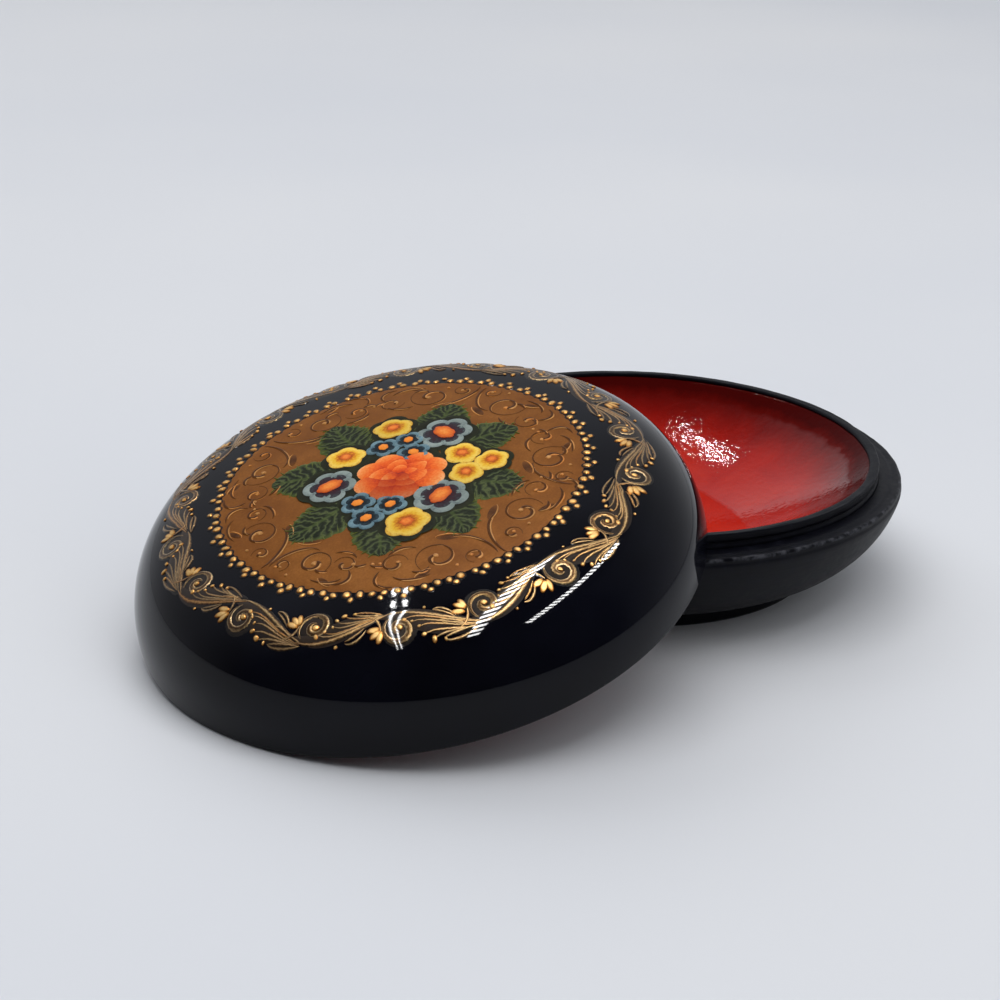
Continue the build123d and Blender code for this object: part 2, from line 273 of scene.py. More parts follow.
def brushed_red_lacquer():
    """Red oil lacquer flowed on with a brush: wet gloss, shallow puddles, brush grain and small nibs of
    dust. A glossy second coat stops in a curved edge with a low ridge. Towards the rim the full coat ends
    in an uneven line and only a thin, duller one goes on over the black; there the red is darkened, both for
    the thin coat and as painted shade."""
    made, tree, shader, place = begin("brushed_red_lacquer")
    puddle = add(tree, "TexNoise", {"Vector": place, "Scale": per_mm(13), "Detail": 2, "Distortion": 0.5})
    drawn = add(tree, "Mapping", {"Vector": place, "Rotation": (0, 0, radians(38)), "Scale": (1, 0.16, 1)})
    grain = add(tree, "TexNoise", {"Vector": drawn, "Scale": per_mm(0.9), "Detail": 3})
    nibs = add(tree, "TexNoise", {"Vector": place, "Scale": per_mm(1.3), "Detail": 2, "Roughness": 0.5})
    ragged = add(tree, "TexNoise", {"Vector": place, "Scale": per_mm(6), "Detail": 4, "Roughness": 0.6})
    tint = add(tree, "ValToRGB", {"Fac": puddle}, [(0.25, "#94130c"), (0.5, "#aa1b10"), (0.75, "#b82614")])
    mark = add(tree, "Attribute", attribute_name="stroke").outputs["Vector"]
    reach = add(tree, "SeparateXYZ", {0: mark}).outputs["X"]
    shaken = add(tree, "Math", {0: ragged, 1: 0.09, 2: reach}, operation="MULTIPLY_ADD")
    thin = add(
        tree, "MapRange", {"Value": shaken, "From Min": thin_from + 0.04, "From Max": thin_from + 0.06}
    )
    # Painted shade: the red darkens towards the rim, partly for the thin coat over black and partly as shade
    rim_shade_share = add(
        tree, "MapRange", {"Value": shaken, "From Min": thin_from - 0.16, "From Max": thin_from + 0.09}
    )
    rim_shaded_tint = add(tree, "Mix", {0: rim_shade_share, 6: tint, 7: linear("#420706")}, data_type="RGBA")
    middle = [c * MM for c in second_coat_middle]
    off_middle = add(tree, "VectorMath", {0: place, 1: middle}, operation="SUBTRACT")
    across = add(tree, "VectorMath", {0: off_middle, 1: (1, 1, 0)}, operation="MULTIPLY")
    away = add(tree, "VectorMath", {0: across}, operation="LENGTH").outputs["Value"]
    uneven = add(tree, "Math", {0: ragged, 1: 2 * MM, 2: away}, operation="MULTIPLY_ADD")
    second = add(tree, "MapRange", {
        "Value": uneven,
        "From Min": (second_coat_edge - second_coat_fade) * MM,
        "From Max": (second_coat_edge + second_coat_fade) * MM,
    })
    coat_shine = add(tree, "MapRange", {"Value": second, "To Min": 0.02, "To Max": 0.32})
    shine = add(tree, "MapRange", {"Value": thin, "To Min": coat_shine, "To Max": 0.03})
    gloss = add(tree, "MapRange", {"Value": grain, "To Min": 0.02, "To Max": 0.09})
    bump = add(tree, "Bump", {"Height": puddle, "Strength": 0.5, "Distance": 0.25 * MM})
    for height, strength, rise in ((second, 1.0, 0.1), (grain, 0.3, 0.04), (nibs, 0.5, 0.13)):
        bump = add(
            tree, "Bump", {"Height": height, "Strength": strength, "Distance": rise * MM, "Normal": bump}
        )
    fill(tree, shader, {
        "Base Color": rim_shaded_tint.outputs[2], "Roughness": gloss, "Normal": bump, "IOR": 1.5,
        "Specular IOR Level": shine,
    })
    return made


def bronze_powder_ground():
    """Bronze powder dusted on tacky lacquer: warm brown with cloudy patches and metal grit. The real grit
    is finer than the picture can show, so it is drawn at 0.35 mm."""
    made, tree, shader, place = begin("bronze_powder_ground")
    cloud = add(tree, "TexNoise", {"Vector": place, "Scale": per_mm(7), "Detail": 4, "Roughness": 0.6})
    grit = add(tree, "TexNoise", {"Vector": place, "Scale": per_mm(0.35), "Detail": 2})
    both = add(tree, "Mix", {0: 0.35, 6: cloud, 7: grit}, data_type="RGBA").outputs[2]
    tint = add(tree, "ValToRGB", {"Fac": both}, [(0.3, "#6c3d14"), (0.5, "#7d4b1a"), (0.7, "#905b24")])
    gloss = add(tree, "MapRange", {"Value": grit, "To Min": 0.34, "To Max": 0.55})
    bump = add(tree, "Bump", {"Height": both, "Strength": 0.3, "Distance": 0.05 * MM})
    fill(tree, shader, {
        "Base Color": tint, "Roughness": gloss, "Normal": bump, "Specular IOR Level": 0.06, "Metallic": 0.15,
    })
    return made


def lay_clear_lacquer(tree, shader):
    """Clear lacquer, rubbed level over the paint: it mirrors along the dome's own surface, not along each
    stroke."""
    level = add(tree, "Attribute", attribute_name="level").outputs["Vector"]
    facing = add(
        tree, "VectorTransform", {"Vector": level},
        vector_type="NORMAL", convert_from="OBJECT", convert_to="WORLD",
    )
    fill(tree, shader, {"Coat Weight": 0.5, "Coat Roughness": 0.03, "Coat Normal": facing})


def brushed_paint(name, reads, stops, tones, sheen=0.0, clear=False):
    """Oil paint laid on in single strokes, some under clear lacquer. Its colour runs along or across each
    stroke, as the brush loads it, and shifts from stroke to stroke; on the gold strokes and drops the run is
    also painted highlight on the crest and painted shade at the edges. Fine bristle marks break the gloss.
    reads picks the stroke's coordinate: X along or outwards from the middle, Y across."""
    made, tree, shader, place = begin(name)
    if clear:
        lay_clear_lacquer(tree, shader)
    mark = add(tree, "Attribute", attribute_name="stroke").outputs["Vector"]
    parts = add(tree, "SeparateXYZ", {0: mark})
    bristle = add(tree, "TexNoise", {"Vector": place, "Scale": per_mm(0.45), "Detail": 3})
    stir = add(
        tree, "MapRange",
        {"Value": bristle, "From Min": 0.25, "From Max": 0.75, "To Min": -0.13, "To Max": 0.13},
    )
    shaken = add(tree, "Math", {0: parts.outputs[reads], 1: stir}, operation="ADD")
    ramp = add(tree, "ValToRGB", {"Fac": shaken}, stops)
    shift = add(tree, "ValToRGB", {"Fac": parts.outputs["Z"]}, tones)
    tint = add(tree, "Mix", {0: 0.8, 6: ramp, 7: shift}, data_type="RGBA", blend_type="MULTIPLY")
    gloss = add(tree, "MapRange", {"Value": bristle, "To Min": 0.3, "To Max": 0.52})
    bump = add(tree, "Bump", {"Height": bristle, "Strength": 0.4, "Distance": 0.05 * MM})
    fill(tree, shader, {
        "Base Color": tint.outputs[2], "Roughness": gloss, "Normal": bump, "Specular IOR Level": 0.06,
        "Metallic": sheen,
    })
    return made


def veined_green_paint():
    """Dark green oil paint combed with a dry brush: slanting light and dark ribs, a pale midrib and a
    yellowish edge."""
    made, tree, shader, place = begin("veined_green_paint")
    mark = add(tree, "Attribute", attribute_name="stroke").outputs["Vector"]
    parts = add(tree, "SeparateXYZ", {0: mark})
    bristle = add(tree, "TexNoise", {"Vector": place, "Scale": per_mm(0.5), "Detail": 3})
    dabbed = add(tree, "TexNoise", {"Vector": place, "Scale": per_mm(1.6), "Detail": 2})
    off_rib = add(tree, "Math", {0: parts.outputs["Y"], 1: 0.5}, operation="SUBTRACT")
    away = add(tree, "Math", {0: off_rib}, operation="ABSOLUTE")
    slant = add(tree, "Math", {0: away, 1: -0.5, 2: parts.outputs["X"]}, operation="MULTIPLY_ADD")
    wobble = add(tree, "Math", {0: dabbed, 1: 0.22, 2: slant}, operation="MULTIPLY_ADD")
    ribs = add(tree, "Math", {0: wobble, 1: 2 * pi * blade_ribs}, operation="MULTIPLY")
    comb = add(tree, "Math", {0: ribs}, operation="SINE")
    shade = add(tree, "MapRange", {"Value": comb, "From Min": -1})
    tint = add(
        tree, "ValToRGB", {"Fac": shade},
        [(0.0, "#1c2114"), (0.5, "#2a3120"), (0.85, "#3e472a"), (1.0, "#525b34")],
    ).outputs[0]
    for first, last, most, code in ((0.38, 0.5, 0.75, "#5c6a32"), (0.05, 0.015, 0.6, "#4c5a2a")):
        share = add(tree, "MapRange", {"Value": away, "From Min": first, "From Max": last, "To Max": most})
        tint = add(tree, "Mix", {0: share, 6: tint, 7: linear(code)}, data_type="RGBA").outputs[2]
    gloss = add(tree, "MapRange", {"Value": bristle, "To Min": 0.3, "To Max": 0.5})
    bump = add(tree, "Bump", {"Height": comb, "Strength": 0.35, "Distance": 0.04 * MM})
    fill(tree, shader, {"Base Color": tint, "Roughness": gloss, "Normal": bump, "Specular IOR Level": 0.06})
    return made


black = polished_black_lacquer()
black_rim = brushed_black_lacquer()
red = brushed_red_lacquer()
bronze = bronze_powder_ground()
green = veined_green_paint()

warm_tones = [(0.0, "#c9c2b6"), (0.5, "#ffffff"), (1.0, "#ffd9a0")]
even_tones = [(0.0, "#d8d8d8"), (1.0, "#ffffff")]
# Painted highlight and shade: each gold stroke is lighter along its crest and dark at its edges
gold = brushed_paint(
    "raised_gold_paint", "Y",
    [(0.08, "#1e150d"), (0.3, "#6e5437"), (0.5, "#bc9e70"), (0.7, "#725738"), (0.92, "#1e150d")],
    warm_tones, 0.85, True,
)
ribbon_gold = brushed_paint(
    "shaded_gold_ribbon_paint", "Y",
    [(0.03, "#1c130c"), (0.16, "#a98d62"), (0.3, "#846a47"), (0.5, "#3e2b1b"), (0.72, "#654b30"),
     (0.86, "#c6ad84"), (0.98, "#20160e")],
    warm_tones, 0.85, True,
)
# Painted highlight and shade: each gold drop is pale on top and dark brown at its edge
bead_gold = brushed_paint(
    "dripped_gold_paint", "X",
    [(0.0, "#fbdca4"), (0.5, "#e2b670"), (0.8, "#a86c2c"), (1.0, "#3c210c")], even_tones, 0.6,
)
brown_shade = brushed_paint(
    "brown_outline_and_shadow_paint", "X", [(0.0, "#22150b"), (0.6, "#1a1009"), (1.0, "#120b07")], even_tones, clear=True,
)
bronze_wash = brushed_paint(
    "smoky_bronze_wash", "X", [(0.0, "#33281f"), (0.6, "#281f19"), (1.0, "#130f0c")], even_tones, clear=True,
)
umber = brushed_paint(
    "umber_line_paint", "Y", [(0.1, "#6b3f18"), (0.5, "#4e2c11"), (0.9, "#6b3f18")], even_tones,
)
scroll_light = brushed_paint(
    "pale_bronze_line_paint", "Y", [(0.1, "#a06a33"), (0.5, "#cf9a5c"), (0.9, "#a06a33")], warm_tones, 0.1,
)
hair_green = brushed_paint(
    "yellow_green_hair_paint", "X", [(0.0, "#3d4a22"), (0.6, "#636c30"), (1.0, "#7d7c3c")], even_tones,
)
dark_wash = brushed_paint(
    "dark_green_wash", "X", [(0.0, "#14140d"), (0.7, "#191a10"), (1.0, "#2a2e1a")], even_tones,
)
rose_paint = brushed_paint(
    "vermilion_petal_paint", "Y",
    [(0.05, "#961e0e"), (0.35, "#d44614"), (0.6, "#ec6a22"), (0.85, "#f29048"), (1.0, "#f6b078")],
    [(0.0, "#b8705c"), (0.3, "#ffffff"), (1.0, "#ffeccc")],
)
yellow_paint = brushed_paint(
    "yellow_petal_paint", "X",
    [(0.3, "#b8560f"), (0.46, "#de8f1c"), (0.6, "#f2bc2e"), (0.85, "#f8d560"), (1.0, "#e2a634")], even_tones,
)
grey_paint = brushed_paint(
    "grey_petal_paint", "X",
    [(0.0, "#5c262a"), (0.25, "#38202a"), (0.42, "#3a3c42"), (0.6, "#6c7b7c"), (0.8, "#96a39e"),
     (1.0, "#7f8d8a")],
    even_tones,
)
blue_paint = brushed_paint(
    "blue_petal_paint", "X",
    [(0.0, "#201c1c"), (0.25, "#18232a"), (0.42, "#2e424c"), (0.6, "#507080"), (0.8, "#7796a0"),
     (1.0, "#587684")],
    even_tones,
)
eye_paint = brushed_paint(
    "orange_eye_paint", "X", [(0.0, "#f2a24c"), (0.4, "#e67a2a"), (0.85, "#c04c1c"), (1.0, "#54200f")],
    [(0.0, "#ffffff"), (0.5, "#ffe6b8"), (1.0, "#ffe4a0")],
)


# Shapes

pieces_of = {"base": [], "lid": []}


def circle(count):
    """Angles of that many points evenly round a circle."""
    return np.arange(count) * 2 * pi / count


def polar(reach, angle):
    """Points (x, y) at a reach from the middle and an angle."""
    return np.stack([reach * np.cos(angle), reach * np.sin(angle)], -1)


def rotated(x, y, angle):
    """Points (x, y) rotated by an angle."""
    return np.stack([x * np.cos(angle) - y * np.sin(angle), x * np.sin(angle) + y * np.cos(angle)], -1)


def unit(vectors):
    """The same directions with a length of 1."""
    return vectors / (np.linalg.norm(vectors, axis=-1, keepdims=True) + tiny)


def along_and_across(paths):
    """Directions along and across paths (n, rows, 2) at each of their points."""
    run = unit(np.gradient(paths, axis=1))
    return run, np.stack([-run[..., 1], run[..., 0]], -1)


def mark_points(mesh, name, vectors):
    """Stores one vector at each point of a mesh, for its material to read."""
    layer = mesh.attributes.new(name, "FLOAT_VECTOR", "POINT")
    layer.data.foreach_set("vector", vectors.astype(np.float32).ravel())


def put_mesh(name, surfaces, finish, body, nodes=()):
    """One piece from grids of rings. Each grid is points (shapes, rings, around, 3) in millimetres, the
    two poles that close its ends (or none where the last ring meets the first) and the stroke marks of its
    points."""
    verts, marks, quads, fans = [], [], [], []
    start = 0
    for points, poles, stroke in surfaces:
        shapes, rings, around, _ = points.shape
        spots, spot_marks = points.reshape(shapes, -1, 3), stroke.reshape(shapes, -1, 3)
        grid = np.arange(rings * around).reshape(rings, around)
        after = np.roll(grid, -1, axis=1)
        if poles is None:
            next_ring, next_after = np.roll(grid, -1, axis=0), np.roll(after, -1, axis=0)
            four = np.stack([grid, after, next_after, next_ring], -1).reshape(-1, 4)
            three = np.zeros((0, 3), int)
        else:
            four = np.stack([grid[:-1], after[:-1], after[1:], grid[1:]], -1).reshape(-1, 4)
            first = np.stack([after[0], grid[0], np.full(around, rings * around)], -1)
            last = np.stack([grid[-1], after[-1], np.full(around, rings * around + 1)], -1)
            three = np.concatenate([first, last])
            ends = np.stack([stroke[:, 0].mean(1), stroke[:, -1].mean(1)], 1)
            spots, spot_marks = np.concatenate([spots, poles], 1), np.concatenate([spot_marks, ends], 1)
        triangles = np.concatenate([four[:, [0, 1, 2]], four[:, [0, 2, 3]], three])
        corners = spots[0][triangles] - spots[0].mean(0)
        if np.einsum("ij,ij->", corners[:, 0], np.cross(corners[:, 1], corners[:, 2])) < 0:
            four, three = four[:, ::-1], three[:, ::-1]
        shift = start + np.arange(shapes)[:, None, None] * spots.shape[1]
        quads.append((four + shift).reshape(-1, 4))
        fans.append((three + shift).reshape(-1, 3))
        verts.append(spots.reshape(-1, 3))
        marks.append(spot_marks.reshape(-1, 3))
        start += shapes * spots.shape[1]
    verts, marks, quads, fans = (np.concatenate(rows) for rows in (verts, marks, quads, fans))
    mesh = bpy.data.meshes.new(name)
    mesh.vertices.add(len(verts))
    mesh.vertices.foreach_set("co", (verts * MM).astype(np.float32).ravel())
    mesh.loops.add(quads.size + fans.size)
    mesh.loops.foreach_set("vertex_index", np.concatenate([quads.ravel(), fans.ravel()]).astype(np.int32))
    mesh.polygons.add(len(quads) + len(fans))
    starts = np.concatenate([np.arange(len(quads)) * 4, quads.size + np.arange(len(fans)) * 3])
    mesh.polygons.foreach_set("loop_start", starts.astype(np.int32))
    mesh.polygons.foreach_set("use_smooth", np.ones(len(starts), bool))
    mesh.update(calc_edges=True)
    mesh.validate()
    mark_points(mesh, "stroke", marks)
    mesh.set_sharp_from_angle(angle=sharp_angle)
    mesh.materials.append(finish)
    piece = bpy.data.objects.new(name, mesh)
    bpy.context.scene.collection.objects.link(piece)
    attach(piece, body)
    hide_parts(*nodes)
    pieces_of[body].append(piece)
    return piece


def arc(centre, radius, first, last, count):
    """Points of a profile's arc, at angles in degrees counted from straight up towards the outside."""
    angle = np.radians(np.linspace(first, last, count))
    return np.column_stack([centre[0] + radius * np.sin(angle), centre[1] + radius * np.cos(angle)])


def ripple(rows, around, low, high):
    """Hand unevenness from 0 to 1: a sum of waves round the axis, low to high per turn, each drifting from
    row to row."""
    waves = np.arange(low, high)[:, None, None]
    phase = hand.uniform(0, 2 * pi, waves.shape)
    drift = hand.normal(0, 0.25, waves.shape)
    turn = waves * circle(around) + phase + drift * np.arange(rows)[:, None]
    total = (np.cos(turn) / np.sqrt(waves)).sum(0)
    return (total - total.min()) / (total.max() - total.min())


def turned(profile, uneven=None, waves=None, around=256, closed=False):
    """Surface of revolution. The profile (radius, height) runs with the solid on its left; each point is
    pressed in along the profile's normal by its unevenness times a ripple, then carried round the axis.
    Marks: share of the greatest radius."""
    poles = None
    if not closed:
        poles = np.array([[[0, 0, profile[0, 1]], [0, 0, profile[-1, 1]]]])
        profile = profile[1:-1]
    slope = unit(np.gradient(profile, axis=0))
    rows = len(profile)
    depth = np.zeros((rows, around))
    if uneven is not None:
        depth = np.interp(np.arange(rows), np.linspace(0, rows - 1, len(uneven)), uneven)[:, None]
        depth = depth * ripple(rows, around, *waves)
    radius = profile[:, :1] - slope[:, 1:] * depth
    height = profile[:, 1:] + slope[:, :1] * depth
    points = np.concatenate([polar(radius, circle(around)), height[..., None]], -1)[None]
    stroke = np.zeros_like(points)
    stroke[..., 0] = radius / radius.max()
    return points, poles, stroke


def leaned(surface):
    """A turned surface of the lid, moved from its own axis to where the lid leans."""
    points, poles, stroke = surface
    lid_axes = np.stack([lid_uphill, lid_across, lid_normal])
    return lid_centre + points @ lid_axes, lid_centre + poles @ lid_axes, stroke


def dome_profile(sunk, rows, lowest):
    """Profile of the lid's dome, sunk that far below its outside: crown, shoulder and side, from the top
    down to an angle in degrees."""
    return np.concatenate([
        arc(crown_centre, crown_radius - sunk, 0, crown_slope, rows[0]),
        arc(shoulder_centre, shoulder_radius - sunk, crown_slope, shoulder_slope, rows[1])[1:],
        arc(side_centre, side_radius - sunk, shoulder_slope, lowest, rows[2])[1:],
    ])


def on_dome(flat, lift):
    """Places of the painting on the lid: the flat place (x, y) goes up to the dome, then out by lift along
    the dome's normal."""
    reach = np.maximum(np.hypot(flat[..., 0], flat[..., 1]), tiny)
    crown = reach < crown_edge
    lean = np.arcsin(np.where(crown, reach / crown_radius, (reach - shoulder_centre[0]) / shoulder_radius))
    height = np.where(
        crown,
        crown_centre[1] + crown_radius * np.cos(lean),
        shoulder_centre[1] + shoulder_radius * np.cos(lean),
    )
    out = (reach + lift * np.sin(lean)) / reach
    up = height + lift * np.cos(lean)
    x, y = flat[..., 0] * out, flat[..., 1] * out
    return lid_centre + x[..., None] * painting_x + y[..., None] * painting_y + up[..., None] * lid_normal


def marked(along, across, tones, shape):
    """Stroke marks of every point, each of the three spread over the whole grid."""
    return np.stack([np.broadcast_to(mark, shape) for mark in (along, across, tones)], -1)


def strokes(paths, widths, lift=0.0, height=stroke_height, around=8, comb=0.0):
    """Brush strokes: a flat lens, domed above and cut flat below, carried along each path (n, rows, 2)
    with its own widths (n, rows) and a tone drawn for it. comb raises slanting ribs on the upper face.
    Marks: along, across, tone."""
    count, rows, _ = paths.shape
    tones = hand.random(count)[:, None, None]
    side = along_and_across(paths)[1]
    reach, rise = np.cos(circle(around)), np.sin(circle(around))
    flat = paths[:, :, None] + side[:, :, None] * (widths[..., None] / 2 * reach)[..., None]
    along = np.linspace(0, 1, rows)[None, :, None]
    crest = np.maximum(rise, 0) * height * np.sqrt(widths / widths.max(1, keepdims=True))[..., None]
    slant = np.sin(2 * pi * blade_ribs * (along - 0.25 * np.abs(reach)))
    crest = crest + comb * (rise > 0.2) * (0.5 + 0.5 * slant)
    lifts = lift + np.where(rise > tiny, crest, -set_in)
    poles = on_dome(paths[:, [0, -1]], np.full((count, 2), lift - set_in / 2))
    return on_dome(flat, lifts), poles, marked(along, 0.5 + reach / 2, tones, lifts.shape)


def dabs(places, spans, turns, height, lift=0.0, lobes=0, notch=0.0, around=12, steps=4, tones=None):
    """Drops and petals: an ellipse of half lengths spans, turned, its edge drawn in by notch between
    lobes, and domed as height times the root of 1 - u squared. A tone is drawn for each unless given.
    Marks: u from the middle to the edge, place along the ellipse, tone."""
    count = len(places)
    if tones is None:
        tones = hand.random(count)
    spans = np.broadcast_to(spans, (count, 2))
    turns, tones, height, lift = (
        np.broadcast_to(np.asarray(v, float), (count,))[:, None, None] for v in (turns, tones, height, lift)
    )
    angle = circle(around)
    u = np.append(np.sin(np.linspace(0, pi / 2, steps + 1))[1:], under_share)[None, :, None]
    edge = 1 - notch * (1 - np.abs(np.cos(lobes * angle / 2))) * u**2
    x = spans[:, 0, None, None] * u * edge * np.cos(angle)
    y = spans[:, 1, None, None] * u * edge * np.sin(angle)
    flat = places[:, None, None] + rotated(x, y, turns)
    groove = 1 - 0.35 * (lobes > 0) * (1 - edge) / max(notch, tiny) * u
    under = np.arange(steps + 1)[None, :, None] == steps
    lifts = lift + np.where(under, -set_in, height * np.sqrt(np.maximum(1 - u**2, 0)) * groove + 0 * x)
    ends = np.stack([height[:, 0, 0], np.full(count, -set_in)], 1) + lift[:, 0]
    poles = on_dome(np.repeat(places[:, None], 2, 1), ends)
    marks = marked(np.where(under, 1.0, u), 0.5 + 0.5 * u * np.cos(angle), tones, lifts.shape)
    return on_dome(flat, lifts), poles, marks


def bends(corners, rows):
    """Cubic curves through four control points each: (n, 4, 2) gives (n, rows, 2)."""
    t = np.linspace(0, 1, rows)[:, None]
    weights = np.hstack([(1 - t) ** 3, 3 * t * (1 - t) ** 2, 3 * t**2 * (1 - t), t**3])
    return weights @ np.asarray(corners, float)


def curls(table, rows):
    """Spirals, one for each row of the table: middle, radius at the start and at the end, bearing of the
    start in degrees, and turns."""
    centres, first, last, start, turns = (np.array([row[k] for row in table], float) for k in range(5))
    t = np.linspace(0, 1, rows)
    radius = last[:, None] + (first - last)[:, None] * (1 - t) ** 1.15
    angle = np.radians(start)[:, None] + 2 * pi * turns[:, None] * t
    return centres[:, None] + polar(radius, angle)


def swelling(paths, width):
    """Widths of strokes pressed in their middle and lifted at both ends."""
    t = np.linspace(0, 1, paths.shape[1])
    return np.reshape(width, (-1, 1)) * (0.14 + 0.86 * np.sin(pi * t) ** 0.7) * np.ones((len(paths), 1))


def comma(paths, width):
    """Widths of strokes that start with a full drop and are drawn out to a hair."""
    t = np.linspace(0, 1, paths.shape[1])
    head = np.sqrt(np.clip(t / 0.12, 0.03, 1))
    return np.reshape(width, (-1, 1)) * head * (0.12 + 0.88 * (1 - t) ** 1.3) * np.ones((len(paths), 1))


# Base: bowl, foot, collar and lining
wall_start = np.array([foot_radius, foot_height])
wall_end = np.array([base_radius, ledge_height - edge_band])
wall_chord = wall_end - wall_start
wall_length = np.linalg.norm(wall_chord)
wall_inward = np.array([-wall_chord[1], wall_chord[0]]) / wall_length
wall_centre = (wall_start + wall_end) / 2 + wall_inward * sqrt(wall_arc_radius**2 - wall_length**2 / 4)
wall_angles = [degrees(np.arctan2(*(end - wall_centre))) for end in (wall_start, wall_end)]

foot_inset = foot_radius - 1
foot_profile = np.concatenate([
    np.linspace((0, 0), (foot_radius - foot_chamfer, 0), 12),
    np.linspace((foot_radius, foot_chamfer), (foot_radius, foot_height), 8),
    np.linspace((foot_inset, foot_height), (0, foot_height), 6),
])
put_mesh("foot", [turned(foot_profile)], black, "base", ["foot_disc"])

# Each stretch of a profile starts a short step past the end of the last one
step = 0.2
bottom_rows, wall_rows, band_rows, seam_rows = 10, 32, 5, 12
bowl_profile = np.concatenate([
    np.linspace((0, foot_height), (foot_inset, foot_height), bottom_rows),
    arc(wall_centre, wall_arc_radius, *wall_angles, wall_rows),
    np.linspace(wall_end + (0, step), (base_radius, ledge_height - edge_round - step / 2), band_rows),
    arc((base_radius - edge_round, ledge_height - edge_round), edge_round, 90, 0, 7),
    np.linspace((base_radius - edge_round - step, ledge_height), (collar_radius, ledge_height), 12),
    np.linspace((collar_radius, ledge_height - 1.5 * step), (collar_radius, collar_seat), 4),
    np.linspace((collar_radius - step, collar_seat), (seat_bore + step, collar_seat), 4),
    arc(dish_centre, dish_radius, 180 - seat_angle, 180, 16),
])
edge_row = bottom_rows + wall_rows + band_rows
bowl_press = np.zeros(len(bowl_profile) - 2)
bowl_press[bottom_rows:bottom_rows + wall_rows] = wall_uneven
bowl_press[edge_row - 4:edge_row + 10] = edge_uneven
put_mesh(
    "bowl_body", [turned(bowl_profile, bowl_press, (4, 90))], black_rim, "base",
    ["base_bowl"],
)

outside = np.linspace((collar_radius, collar_seat), (collar_radius, collar_top - collar_round), 40)
off_groove = outside[:, 1] - ledge_height - groove_height
outside[:, 0] -= groove_depth * np.exp(-((off_groove / groove_width) ** 2))
lip_bore = lining_bore - lip_overlap
lip_skip = 0.6
collar_profile = np.concatenate([
    outside,
    arc((collar_radius - collar_round, collar_top - collar_round), collar_round, 90, 0, 7)[1:],
    np.linspace((collar_radius - collar_round - step, collar_top), (lip_bore + lip_depth, collar_top), 5),
    arc((lip_bore + lip_depth / 2, collar_top - lip_depth / 2), lip_depth / 2, 0, -180, 10),
    arc(dish_centre, dish_radius, 180 + lip_skip - lip_angle, 180 - seat_angle, seam_rows),
])
collar_press = np.full(len(collar_profile), collar_uneven)
collar_press[-seam_rows:] = 0
put_mesh(
    "collar_ring", [turned(collar_profile, collar_press, (5, 60), closed=True)], black_rim, "base",
    ["base_collar"],
)

lining_face = arc(dish_centre, lining_radius, 180 - lining_angle, 180, 90)
lining_profile = np.concatenate([arc(dish_centre, dish_radius, 180, 180 - lip_angle, 24), lining_face])
lining_press = np.zeros(len(lining_profile) - 2)
lining_press[1 - len(lining_face):] = puddle_depth * np.minimum(lining_face[:-1, 0] / puddle_full, 1)
put_mesh(
    "bowl_inside", [turned(lining_profile, lining_press, (2, 14))], red, "base",
    ["base_lining"],
)

# Lid: shell and lining
shell_profile = np.concatenate([
    dome_profile(lid_wall, (16, 14, 10), 90),
    np.linspace((lid_bore, skirt_height - step), (lid_bore, rim_round), 3),
    arc((lid_bore + rim_round, rim_round), rim_round, 270, 180, 6)[1:],
    arc((base_radius - rim_round, rim_round), rim_round, 180, 90, 6),
    np.linspace((base_radius, rim_round + step), (base_radius, skirt_height), 3),
    dome_profile(0, (40, 40, 28), 90)[-2::-1],
])
put_mesh(
    "lid_body", [leaned(turned(shell_profile, around=320))], black, "lid", ["lid_shell"]
)

lining_rows = (20, 16, 8)
lining_edge = degrees(acos((bare_bore - skirt_height) / (side_radius - lid_wall)))
lid_lining_face = dome_profile(lid_wall + lining_thickness, lining_rows, lining_edge)
lid_lining_back = dome_profile(lid_wall - set_in, lining_rows, lining_edge)
lid_lining_profile = np.concatenate([lid_lining_face, lid_lining_back[::-1]])
lid_lining_press = np.zeros(len(lid_lining_profile) - 2)
lid_lining_press[:len(lid_lining_face)] = lid_puddle_depth
put_mesh(
    "lid_inside", [leaned(turned(lid_lining_profile, lid_lining_press, (2, 14)))], red, "lid",
    ["lid_lining"],
)


def paint(name, surfaces, finish, slot, *nodes):
    """A painted piece of the lid. Its points also carry the dome's own normal there, for the clear
    lacquer."""
    piece = put_mesh(name, surfaces, finish, "lid", nodes)
    places = np.empty(3 * len(piece.data.vertices), np.float32)
    piece.data.vertices.foreach_get("co", places)
    away = places.reshape(-1, 3) / MM - lid_centre
    up = away @ lid_normal
    radial = away - up[:, None] * lid_normal
    reach = np.linalg.norm(radial, axis=1)
    crown = reach < crown_edge
    out = np.where(crown, 1, 1 - shoulder_centre[0] / np.maximum(reach, crown_edge))
    rise = up - np.where(crown, crown_centre[1], shoulder_centre[1])
    mark_points(piece.data, "level", unit(radial * out[:, None] + rise[:, None] * lid_normal))


def column(rows, place, copies):
    """One column of a list of strokes, repeated for every copy of the list."""
    return np.tile([row[place] for row in rows], copies)


# Medallion: bronze ground, scrolls and their lights
ground_rows, ground_around = 49, 256
ground_spill, ground_ragged = 0.35, 0.25
ground_rings = np.append(np.linspace(0, 1, ground_rows)[1:], 1.0)
ground_edge = medallion_radius + ground_spill - ground_ragged * ripple(1, ground_around, 8, 60)[0]
ground_flat = polar(ground_rings[:, None] * ground_edge, circle(ground_around))[None]
ground_lifts = ground_lift * (1 - 0.8 * ground_rings**60)
ground_lifts[-1] = -set_in
ground_lifts = np.broadcast_to(ground_lifts[None, :, None], ground_flat.shape[:3])
ground_poles = on_dome(np.zeros((1, 2, 2)), np.array([[ground_lift, -set_in]]))
ground_points = on_dome(ground_flat, ground_lifts)
paint(
    "bronze_field", [(ground_points, ground_poles, np.zeros_like(ground_points))], bronze, "bronze_ground",
    "medallion_ground",
)

